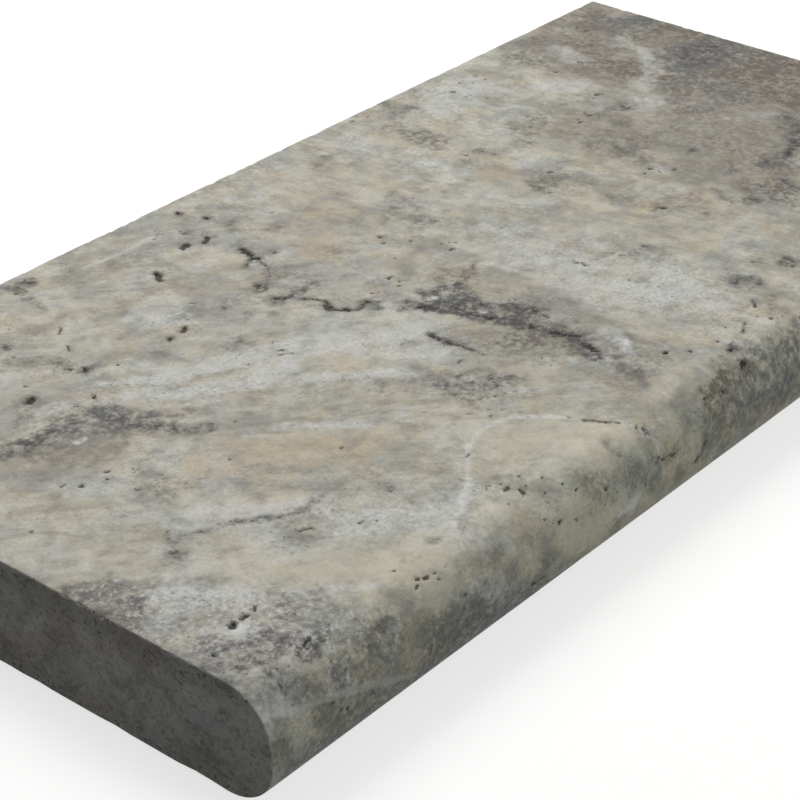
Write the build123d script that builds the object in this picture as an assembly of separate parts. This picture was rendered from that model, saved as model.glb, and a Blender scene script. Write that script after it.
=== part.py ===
"""Travertine bullnose coping: a sawn stone slab with a full bullnose worked along one long edge.

The slab lies on its sawn underside. X runs along its length, Y from the bullnose (-Y) to the sawn
back edge (+Y) and Z up. The origin is the middle of the footprint, on the underside.
"""

from build123d import *
import os

# Driving dimensions, in millimetres.
LENGTH = 610.0  # end to end, along the edge that the slab caps
WIDTH = 305.0  # from the tip of the bullnose to the back edge
THICKNESS = 50.0  # underside to tread
NOSE_FLAT = 5.0  # upright band that the router leaves on the tip of the bullnose
ARRIS_RADIUS = 1.0  # the corners left by the saw, rubbed down

# The two quarter rounds of the bullnose take the thickness that the flat band leaves.
NOSE_RADIUS = (THICKNESS - NOSE_FLAT) / 2

NOSE_TIP_Y = -WIDTH / 2
BACK_Y = WIDTH / 2
END_X = LENGTH / 2


def slab_section():
    """The outline that the bullnose router and the saw leave, drawn in the YZ plane of one end."""
    flat_start_y = NOSE_TIP_Y + NOSE_RADIUS
    band_top_z = THICKNESS - NOSE_RADIUS
    band_foot_z = NOSE_RADIUS
    with BuildSketch(Plane.YZ.offset(-END_X)) as section:
        with BuildLine():
            underside = Line((BACK_Y, 0), (flat_start_y, 0))
            lower_round = TangentArc(underside @ 1, (NOSE_TIP_Y, band_foot_z), tangent=underside % 1)
            band = Line(lower_round @ 1, (NOSE_TIP_Y, band_top_z))
            upper_round = TangentArc(band @ 1, (flat_start_y, THICKNESS), tangent=band % 1)
            tread = Line(upper_round @ 1, (BACK_Y, THICKNESS))
            Line(tread @ 1, underside @ 0)
        make_face()
    return section.sketch


def sawn_edges(slab):
    """Every edge where two sawn faces meet: the outlines of both ends and the two long back edges."""
    end_outlines = [face.edges() for face in slab.faces().filter_by(Axis.X)]
    back_edges = slab.faces().sort_by(Axis.Y)[-1].edges().filter_by(Axis.X)
    return [edge for outline in end_outlines for edge in outline] + list(back_edges)


def bullnose_coping():
    """The slab, cut from one piece of stone, with its sawn corners rubbed to a small round."""
    slab = extrude(slab_section(), amount=LENGTH)
    return fillet(sawn_edges(slab), radius=ARRIS_RADIUS)


def main():
    coping = bullnose_coping()
    coping.label = "bullnose_coping"
    os.makedirs("parts", exist_ok=True)
    export_step(coping, "parts/bullnose_coping.step")
    size = coping.bounding_box().size
    print(f"bullnose_coping {size.X:.1f} x {size.Y:.1f} x {size.Z:.1f} mm, {coping.volume / 1e6:.3f} litres")


main()
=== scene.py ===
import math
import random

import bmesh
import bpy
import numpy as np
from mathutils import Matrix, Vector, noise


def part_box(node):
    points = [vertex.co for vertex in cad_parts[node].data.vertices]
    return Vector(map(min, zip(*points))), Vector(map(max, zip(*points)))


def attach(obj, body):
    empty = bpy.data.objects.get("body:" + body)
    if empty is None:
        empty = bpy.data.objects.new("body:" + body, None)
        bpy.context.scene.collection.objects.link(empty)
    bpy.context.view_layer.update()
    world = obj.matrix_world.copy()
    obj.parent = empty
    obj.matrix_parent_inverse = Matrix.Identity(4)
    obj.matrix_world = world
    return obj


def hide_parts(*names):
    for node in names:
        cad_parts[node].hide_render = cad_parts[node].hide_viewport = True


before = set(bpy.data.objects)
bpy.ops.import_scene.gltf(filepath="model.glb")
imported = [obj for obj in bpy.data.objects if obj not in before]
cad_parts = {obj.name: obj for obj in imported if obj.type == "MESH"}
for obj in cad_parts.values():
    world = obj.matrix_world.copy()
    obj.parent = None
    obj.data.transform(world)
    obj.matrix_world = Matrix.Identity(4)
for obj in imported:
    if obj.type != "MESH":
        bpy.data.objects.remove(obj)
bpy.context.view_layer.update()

# %% [markdown]
# A travertine bullnose coping, dressed in Blender
#
# The real object is one sawn slab of silver travertine. Travertine is limestone that a warm
# spring laid down in thin beds, with gas, moss and mud caught between them. The beds give it
# drifting clouds of cream, silver and smoke, the mud gives brown stains, and the gas leaves
# open pits. One long edge is routed to a full bullnose, and the face is honed and brushed.
#
# Everything here is in metres in the CAD part's own frame. The maker's sizes below are in
# millimetres, because that is how stone is measured, and one factor turns them to metres.

MM = 0.001
TOUCH = 0.01  # mm within which a point counts as lying on a face
scene = bpy.context.scene
random_pits = random.Random(7)

low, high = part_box("bullnose_coping")
END = high[0] / MM  # half the length: the two ends stand at -END and +END
BACK = high[1] / MM
NOSE = low[1] / MM
TOP = high[2] / MM
print("slab", round(2 * END, 1), "x", round(BACK - NOSE, 1), "x", round(TOP, 1), "mm")

# %% [markdown]
# Reading the bullnose off the CAD part
#
# A router bit of one radius cut the real nose, and the mesh needs that same radius. It could be
# typed in again, but then it would stay behind when the part changes. So it is read from the
# CAD part's own points: the tread is the flat at full height, and it stops where the nose
# starts to fall and where the corner at the back starts to turn.

# %% Measure the nose and the corners
cad_points = np.array([v.co[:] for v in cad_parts["bullnose_coping"].data.vertices]) / MM
tread_points = cad_points[cad_points[:, 2] > TOP - TOUCH]
FLAT_START = tread_points[:, 1].min()  # where the tread ends and the nose begins
NOSE_RADIUS = FLAT_START - NOSE
CORNER = BACK - tread_points[:, 1].max()
BAND = TOP - 2 * NOSE_RADIUS
print("nose radius", round(NOSE_RADIUS, 2), "band", round(BAND, 2), "corner", round(CORNER, 2), "mm")

# %% [markdown]
# One map for the whole skin
#
# A stain that runs over the tread and down the nose has to be placed once, so the skin is
# unrolled like paper round a parcel. u runs along the slab, and v across it: down the tread,
# round the nose and on under the slab. The back edge is a flap above the tread, and each end
# is a flap beside it. Blender's own unwrapping would turn and scale the flaps. Here all of it
# is in millimetres, so a stain keeps its size everywhere.

# %% Unroll the skin
QUARTER = NOSE_RADIUS * math.pi / 2
BAND_TOP = TOP - NOSE_RADIUS


def unroll(points):
    """Turns points of the slab, in mm, into u and v on the unrolled skin."""
    x, y, z = points.T
    u = x.copy()
    v = y.copy()
    upper = (y < FLAT_START) & (z >= BAND_TOP)
    band = (y < FLAT_START) & (z < BAND_TOP) & (z > NOSE_RADIUS)
    lower = (y < FLAT_START) & (z <= NOSE_RADIUS)
    upper_turn = np.arctan2(FLAT_START - y, z - BAND_TOP)
    lower_turn = np.arctan2(NOSE_RADIUS - z, FLAT_START - y)
    v = np.where(upper, FLAT_START - NOSE_RADIUS * upper_turn, v)
    v = np.where(band, FLAT_START - QUARTER - (BAND_TOP - z), v)
    v = np.where(lower, FLAT_START - QUARTER - BAND - NOSE_RADIUS * lower_turn, v)
    under = (y >= FLAT_START) & (z < CORNER)
    v = np.where(under, FLAT_START - 2 * QUARTER - BAND - (y - FLAT_START), v)
    back = (y > BACK - CORNER / 2) & (z >= CORNER)
    v = np.where(back, BACK + TOP - z, v)
    end = np.abs(x) > END - CORNER / 2
    u = np.where(end, np.sign(x) * (END + TOP - z), u)
    v = np.where(end, y, v)
    return np.stack([u, v], axis=1)


# %% [markdown]
# The stone's markings, placed one by one
#
# A procedural noise alone makes a stone, but not this stone. The big clouds, veins and voids
# are therefore set out one by one, as a marbler would with a brush: each is a soft dab or a
# stroke with a half width in mm, a strength from 0 to 1 and the points of its route in u, v.
# Small marks that share a brush are written together. The fine mottling inside and round them
# is left to the material's noise.

# %% Washes that turn whole regions browner
def brush(half_width, strength, *routes):
    """Marks of one brush: a bare point is a dab, and a list of points is a stroke."""
    marks = []
    for route in routes:
        points = route if isinstance(route, list) else [route]
        marks.append((half_width, strength, *points))
    return marks


WASH = [
    (60, 1.0, (300, 150), (295, 60), (290, 0)),
    (50, 1.0, (255, 20), (215, -30)),
    (32, 0.9, (235, 122), (224, 84)),
    (34, 0.85, (165, 45), (172, 5), (180, -55)),
    (16, 0.5, (134, 36), (132, 10)),
    (20, 0.5, (125, -55), (150, -25)),
    (7, 0.6, (-6, -62), (-14, -94)),
    (14, 0.6, (-92, 92), (-90, 74)),
    (14, 0.5, (-240, 60), (-205, 58)),
    (12, 0.5, (-30, 94), (-8, 60)),
    (14, 0.4, (140, 76), (128, 60)),
    (26, 0.6, (-52, -55), (-45, -80), (-40, -120)),
    (16, 0.5, (-66, 62), (-62, 40)),
    (16, 0.75, (-240, 14), (-222, 16)),
    (9, 0.6, (-212, 16), (-200, 24)),
    (14, 0.5, (-150, -84), (-142, -96)),
    (12, 0.4, (-136, -120), (-90, -105)),
    (10, 0.6, (-305, -50), (-303, -95)),
    (12, 0.5, (-148, 84), (-138, 92)),
    (12, 0.35, (-120, 138), (-100, 130)),
    (12, 0.35, (-104, 74), (-98, 92)),
    (16, 0.45, (80, 50), (64, -58)),
    (20, 0.35, (10, 105), (-10, 70)),
    (14, 0.8, (0, -165), (40, -170)),
    (16, 0.6, (160, 118), (178, 134)),
    (22, 0.8, (302, 30), (300, 70)),
    (16, 0.5, (268, -4), (248, -16)),
]

# %% Clouds, light ones first
SILVER = [
    # the pale bands that run down across the left half
    (6, 0.9, (-186, 34), (-176, 20), (-163, 12), (-150, 4), (-128, -2)),
    (4, 0.8, (-190, 52), (-166, 30), (-148, 24), (-132, 12)),
    (9, 0.9, (-116, 6), (-100, -4), (-84, -12), (-70, -20)),
    (4, 0.8, (-134, 30), (-112, 14), (-92, 2)),
    (5, 0.8, (-150, 0), (-132, -10), (-116, -26), (-99, -42)),
    (6, 0.7, (-98, -18), (-86, -28), (-76, -42)),
    (3, 0.8, (-168, -30), (-150, -48), (-142, -58)),
    (3, 0.8, (-232, -44), (-222, -58), (-214, -68), (-206, -74)),
    (3, 0.7, (-284, -72), (-270, -90), (-262, -102)),
    (3, 0.7, (-252, -114), (-238, -124), (-226, -134)),
    (4, 0.6, (-212, -98), (-196, -110), (-184, -122)),
    (3, 0.7, (-84, -84), (-74, -96)),
    (4, 0.6, (-222, 52), (-209, 50)),
    (6, 0.5, (-218, 86), (-203, 80), (-196, 74)),
    (6, 0.6, (-176, 55), (-166, 46)),
    (13, 0.5, (-132, 76), (-118, 86)),
    (8, 0.5, (-92, 100), (-84, 92)),
    (7, 0.5, (-62, 75), (-52, 70)),
    (9, 0.4, (-26, 104), (-18, 118)),
    (5, 0.45, (-120, 134), (-98, 131), (-78, 132)),
    # flecked patch by the near nose corner
    (9, 0.8, (-283, -84), (-271, -94), (-264, -99)),
    (9, 0.7, (-290, -114), (-274, -114)),
    (8, 0.5, (-297, -92)),
    (6, 0.5, (-252, -106)),
    (5, 0.6, (-292, -140)),
    (8, 0.65, (-226, -60), (-213, -72), (-203, -79)),
    (12, 0.5, (-190, -90)),
    (9, 0.7, (-205, -96), (-190, -108), (-180, -120)),
    (8, 0.7, (-176, -143), (-182, -142)),
    (7, 0.6, (-166, -123), (-154, -117)),
    # the wide pale drift in the middle
    (18, 0.65, (20, -12), (22, -40), (14, -74), (28, -86)),
    (13, 0.6, (52, -72), (40, -98), (34, -112)),
    (8, 0.6, (36, -136)),
    (9, 0.5, (125, 118), (118, 70), (108, 48)),
    (9, 0.4, (62, 132), (64, 84), (58, 44)),
    (7, 0.7, (-160, 34), (-146, 26), (-128, 15)),
    (7, 0.5, (-128, 60), (-136, 78)),
    (8, 0.6, (72, 136)),
    (8, 0.5, (75, 96)),
    (7, 0.6, (72, 78), (66, 66)),
    (7, 0.55, (61, 34), (66, 16), (72, 8)),
    (6, 0.6, (97, 47)),
    (8, 0.5, (112, -22), (124, -30)),
    (15, 0.6, (122, 122), (140, 130)),
    (15, 0.75, (158, 131)),
    (12, 0.6, (170, 113)),
    (11, 0.7, (196, 84), (192, 92), (184, 97)),
    # the long wisp across the far end
    (5, 0.5, (268, 106), (261, 90), (250, 77), (238, 66), (222, 57)),
    (6, 0.45, (222, 57), (208, 48), (196, 39)),
    (8, 0.45, (232, -16), (224, -9), (214, -6)),
    (5, 0.6, (188, -56)),
    # nose
    (4, 0.3, (-296, -153), (-276, -158), (-256, -163), (-226, -176)),
    (8, 0.5, (-168, -170)),
    (5, 0.6, (-91, -171)),
    # small touches between the clouds, one brush at a time
    (10, 0.4, (-130, -90)),
    (9, 0.6, (226, 108), (232, 124)),
    *brush(9, 0.5, [(22, -82), (30, -96)], [(26, 18), (32, 12)]),
    (9, 0.45, (-253, 8), (-246, -2)),
    (9, 0.4, (-34, -106), (-29, -116)),
    *brush(9, 0.35, [(-214, -40), (-236, -58)], [(22, -74), (62, -92)]),
    (8, 0.5, (-232, -92), (-228, -84)),
    *brush(
        8, 0.4, (-292, -146), [(-246, -54), (-238, -62)], [(-228, -72), (-228, -96)],
        [(-204, -12), (-198, -30)], (-176, -166), (-162, 94), [(32, -86), (42, -100)],
        [(44, -20), (46, -60)], (50, 120),
    ),
    *brush(8, 0.35, [(-134, -125), (-139, -133)], (92, -85)),
    *brush(8, 0.3, (-233, -50), [(-160, 74), (-146, 68)], (34, -46)),
    (7, 0.6, (54, -22), (50, -36)),
    *brush(7, 0.5, (-221, -70), [(28, -64), (26, -82)]),
    (7, 0.45, (-186, -158), (-180, -162)),
    *brush(
        7, 0.4, (-300, -152), (-288, -146), [(-245, -46), (-222, -48)], (-186, -164), (-181, 66),
        [(-160, 100), (-150, 98)], (-130, 143), (-128, 142), [(-96, 14), (-80, 16)], (50, 84), (52, 86),
        (222, 62), (255, 76),
    ),
    *brush(
        7, 0.35, (-205, 90), (-120, 68), [(-60, -5), (-55, -26)], [(28, -88), (36, -80)],
        [(82, -92), (95, -80)],
    ),
    *brush(
        7, 0.3, [(-150, -20), (-130, -21)], (-76, 108), (-75, 106), [(34, 2), (36, 24)], (85, 100),
        [(174, 30), (178, 20)],
    ),
    *brush(6, 0.5, (-219, -71), [(-85, 6), (-80, 2)]),
    (6, 0.45, (-62, 4), (-52, -14)),
    *brush(
        6, 0.4, (-164, 74), [(-152, -176), (-140, -172)], [(190, 62), (184, 56)], (220, -20),
        (253, 105),
    ),
    *brush(
        6, 0.35, (-240, -92), [(-124, -32), (-110, -48)], (-84, 74), (-66, -34), [(-66, 48), (-70, 52)],
        (-60, 92), (-40, -98), [(18, 30), (26, 36)], (175, 56), [(262, 82), (246, 66)],
    ),
    *brush(6, 0.3, (-45, 140), [(76, 82), (76, 118)], (114, 134), (165, 45)),
    (5, 0.85, (-15, -89), (-19, -97), (-24, -104)),
    (5, 0.7, (-53, -82)),
    (5, 0.35, (-176, -56), (-168, -58)),
    (3, 0.9, (-46, -90)),
    (3, 0.6, (-96, -171), (-88, -169), (-84, -168)),
]
CREAM = [
    # wide patches
    (20, 0.5, (-172, 98), (-163, 112)),
    (15, 0.45, (-158, 84)),
    (14, 0.5, (-276, -54)),
    (10, 0.9, (-231, -44), (-223, -58), (-214, -67)),
    (6, 0.8, (-205, -72)),
    (20, 0.8, (-247, -94), (-236, -110), (-220, -126), (-206, -134)),
    (11, 0.6, (-160, -135)),
    (27, 0.75, (-122, -108), (-102, -119), (-92, -130)),
    (12, 0.55, (-134, 4), (-104, 2)),
    (12, 0.5, (-118, -12), (-104, -24)),
    (20, 0.35, (45, 55), (50, 36)),
    (14, 0.45, (40, 100), (35, 88)),
    (9, 0.55, (110, 50)),
    (10, 0.5, (112, 82)),
    (12, 0.4, (40, -60), (48, -84)),
    (6, 0.5, (-284, -125)),
    (16, 0.35, (90, -75)),
    (10, 0.45, (-262, -8), (-270, -30)),
    # nose
    (12, 0.6, (-130, -165)),
    (9, 0.5, (-158, -138)),
    (9, 0.5, (-245, -174)),
    # small touches between the clouds, one brush at a time
    (10, 0.75, (-122, -162), (-106, -171)),
    (10, 0.7, (-124, -160), (-104, -173)),
    (9, 0.6, (66, -14), (62, -26)),
    *brush(9, 0.5, [(-150, 36), (-142, 34)], [(-142, -22), (-130, -26)], [(126, -56), (134, -46)]),
    (9, 0.4, (130, -60), (120, -66)),
    (9, 0.35, (-68, -20), (-74, 12)),
    (8, 0.7, (-46, -166), (-50, -150)),
    *brush(8, 0.6, [(-122, -162), (-104, -174)], [(-46, -134), (-24, -131)], [(80, -8), (84, -12)]),
    *brush(
        8, 0.5, (-152, -168), (-10, -142), [(64, 60), (66, 72)], [(68, 42), (64, 56)],
        [(118, 46), (122, 34)],
    ),
    (8, 0.45, (-145, 35), (-158, 32)),
    *brush(
        8, 0.4, [(-210, -132), (-198, -136)], (-166, -140), [(-160, -20), (-140, -26)],
        [(-144, -70), (-152, -62)], (-46, -167), (60, 30), [(80, 112), (76, 122)],
        [(108, 70), (116, 50)], (140, -40),
    ),
    (7, 0.5, (-46, -165)),
    *brush(7, 0.4, (-140, -75), (-100, -50), [(76, 120), (90, 130)]),
    *brush(
        7, 0.35, (-226, -131), (-222, -134), (-86, 50), (-86, 56), (50, 10), (64, 28),
        [(75, 24), (76, -16)],
    ),
    (7, 0.3, (-140, -64)),
    *brush(6, 0.4, (105, 60), (106, 12)),
]
OCHRE = [
    # warm patches
    (18, 0.6, (-202, -24), (-184, -38), (-166, -52), (-154, -66)),
    (12, 0.4, (-176, -62)),
    (12, 0.4, (-277, -52)),
    (8, 0.4, (-222, 13)),
    (12, 0.35, (-242, -104), (-222, -122)),
    (10, 0.75, (-39, 61), (-26, 68)),
    (13, 0.5, (-10, 94), (-4, 106)),
    (9, 0.4, (-110, 120)),
    (7, 0.4, (-113, -18)),
    (9, 0.5, (-72, -60), (-65, -76)),
    (10, 0.45, (80, 126)),
    (9, 0.4, (8, 126)),
    (6, 0.4, (14, 87)),
    (10, 0.85, (80, 51)),
    (9, 0.3, (62, 72)),
    (4, 0.5, (31, -46)),
    (8, 0.55, (97, -28)),
    (11, 0.5, (126, -36)),
    (9, 0.4, (118, -86)),
    (14, 0.45, (256, 124)),
    (15, 0.4, (186, -14), (180, -30)),
    (12, 0.5, (298, 30), (297, 10)),
    (15, 0.3, (-112, -115)),
    (8, 0.45, (-88, -154)),
    (10, 0.45, (-64, -162)),
    (9, 0.4, (118, 52), (124, 30)),
    (10, 0.35, (96, 132), (84, 120)),
    (9, 0.3, (112, -58), (130, -38)),
    (6, 0.35, (66, 72)),
    (8, 0.3, (-146, 36), (-136, 72)),
    (9, 0.35, (85, 136)),
    (8, 0.35, (34, 144)),
    (10, 0.35, (216, 136), (232, 122)),
    (7, 0.35, (126, 88), (122, 62)),
    (6, 0.3, (68, 70)),
    (6, 0.4, (-68, -20)),
    (7, 0.35, (-132, 77)),
    (7, 0.4, (108, -50), (108, -72)),
    (5, 0.4, (-187, -66)),
]

# %% Clouds, dark ones
UMBER = [
    # the brown grey far end
    (20, 0.8, (236, 106), (230, 88), (238, 74)),
    (14, 0.6, (262, 134), (248, 124), (226, 142)),
    (12, 0.8, (286, 144), (276, 128)),
    (20, 0.8, (238, 46), (262, 44), (284, 40), (298, 30)),
    (18, 0.7, (244, 24), (270, 20), (292, 8)),
    (5, 0.7, (225, 41), (240, 50)),
    (14, 0.5, (150, 40), (162, 24)),
    (9, 0.65, (300, 76)),
    (16, 0.4, (200, 20), (180, 8), (150, 10)),
    (22, 0.5, (272, 92), (292, 100)),
    (18, 0.35, (210, -20), (240, 0), (270, 10)),
    # round the dark heart
    (11, 0.6, (-34, -16), (-30, -50), (-34, -84)),
    (13, 0.55, (-60, -48), (-54, -62), (-46, -80)),
    (6, 0.4, (-22, -12), (-10, -6)),
    (7, 0.5, (-52, -108), (-47, -120)),
    # nose
    (10, 0.6, (-18, -156), (2, -152)),
    (8, 0.6, (-9, -142), (7, -146)),
    # thin brown veins
    (2.4, 0.5, (110, 19), (99, 5), (98, -8), (101, -14), (96, -24), (102, -34)),
    (1.6, 0.7, (137, -41), (133, -49), (128, -59)),
    (1.4, 0.6, (114, -50), (107, -57), (102, -58)),
    # small touches between the clouds, one brush at a time
    (24, 0.8, (290, 28), (300, 60)),
    (18, 0.7, (300, 28), (286, 40)),
    (16, 0.8, (284, 40), (302, 20)),
    (14, 0.7, (262, 18), (282, 20)),
    (14, 0.35, (102, -48), (122, -60)),
    (13, 0.8, (294, 42), (300, 16)),
    (12, 0.7, (300, 64), (302, 108)),
    *brush(12, 0.6, [(274, 26), (302, 20)], [(302, 80), (296, 30)]),
    (12, 0.55, (-238, 28), (-218, 22)),
    *brush(12, 0.5, (250, 40), [(262, 20), (276, 8)], [(296, 40), (300, 20)]),
    (11, 0.8, (272, -2), (250, -14)),
    (10, 0.7, (276, 106)),
    *brush(
        10, 0.6, [(150, -50), (158, -74)], [(186, -48), (156, -62)], [(270, 0), (246, -10)], (304, 66),
    ),
    (10, 0.55, (200, -50), (184, -56)),
    *brush(
        10, 0.5, [(-8, -40), (-4, -56)], [(120, 60), (130, 74), (156, 70)], [(180, -14), (190, -40)],
        (240, 26),
    ),
    (10, 0.45, (96, 150), (93, 130), (92, 110), (90, 95)),
    *brush(10, 0.4, [(274, 134), (280, 106)], [(300, 80), (296, 96)]),
    (10, 0.35, (240, 30), (206, 20)),
    (10, 0.3, (-150, -92), (-112, -102)),
    (9, 0.7, (150, -80), (166, -70)),
    *brush(9, 0.6, [(-20, -94), (-32, -116)], [(88, 14), (95, 24)]),
    (9, 0.55, (26, -152), (40, -150)),
    *brush(
        9, 0.5, [(-238, 50), (-222, 48)], [(-96, -74), (-86, -78)], [(14, -146), (-20, -150)],
        [(132, 148), (142, 148)], [(208, 118), (206, 134)], [(256, -10), (242, 4)], (266, -5),
        (280, 136),
    ),
    *brush(
        9, 0.45, [(-228, -24), (-222, -34)], [(10, 146), (-30, 150)], (184, -50),
        [(204, 130), (216, 130)],
    ),
    *brush(
        9, 0.4, [(-214, 45), (-204, 34)], [(-86, -88), (-96, -76)], [(155, -60), (145, -80)],
        (196, 150), (276, 106), (276, 148),
    ),
    *brush(
        9, 0.35, [(-100, -96), (-80, -101)], [(-74, 36), (-64, 62)], [(-36, 60), (-44, 27)],
        [(-36, 60), (-20, 50)], [(140, 26), (140, 8)], [(195, 125), (214, 121)], [(236, 66), (240, 90)],
    ),
    *brush(9, 0.3, (-270, 8), [(-150, -105), (-140, -130)]),
    (8, 0.6, (-20, -150), (-30, -156)),
    *brush(
        8, 0.5, [(-50, -60), (-26, -63)], [(-46, -60), (-26, -62)], [(-22, -96), (-32, -106)],
        (-20, -150),
    ),
    *brush(
        8, 0.45, [(-300, -64), (-286, -76)], [(-20, 2), (-14, -2)], [(-15, -86), (-20, -116)],
        [(92, 126), (94, 96)], [(136, 74), (154, 76)],
    ),
    *brush(
        8, 0.4, [(-302, -60), (-302, -92)], [(-298, -72), (-290, -92)], (-216, 30),
        [(22, -170), (-20, -166)], (24, -166), (55, 150), (90, 95), [(104, -36), (126, -38)],
        [(136, 146), (128, 138)], [(207, 122), (210, 134)], (210, 20),
    ),
    *brush(
        8, 0.35, [(-206, 40), (-196, 24)], (-174, -80), [(48, 142), (42, 130)],
        [(120, -35), (100, -20)], (182, -20),
    ),
    *brush(
        8, 0.3, (-260, -30), [(-256, 18), (-206, 0)], (-170, -80), (-4, -112), [(8, -10), (-30, 10)],
        [(90, 95), (100, 125)], (135, 135),
    ),
    (7, 0.85, (-303, -50), (-301, -68), (-300, -82)),
    (7, 0.45, (-192, 76)),
    *brush(7, 0.4, (-140, 80), (-26, 0), (-12, -52), (86, 20), (240, 90)),
    *brush(
        7, 0.35, (-196, 70), (-140, 80), (-90, 96), (-80, 35), [(-66, 60), (-62, 42)], (-60, 75),
        (-45, 25), (-38, 92), (-30, 130), (-20, 128), (176, 76), (206, 12),
    ),
    *brush(7, 0.3, (-300, -30), (-140, 5), (-120, 35), (-60, 82), (14, -10), (85, 60)),
    *brush(6, 0.4, (120, 62), (176, 74)),
    (5, 0.5, (93, -14)),
]
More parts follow.
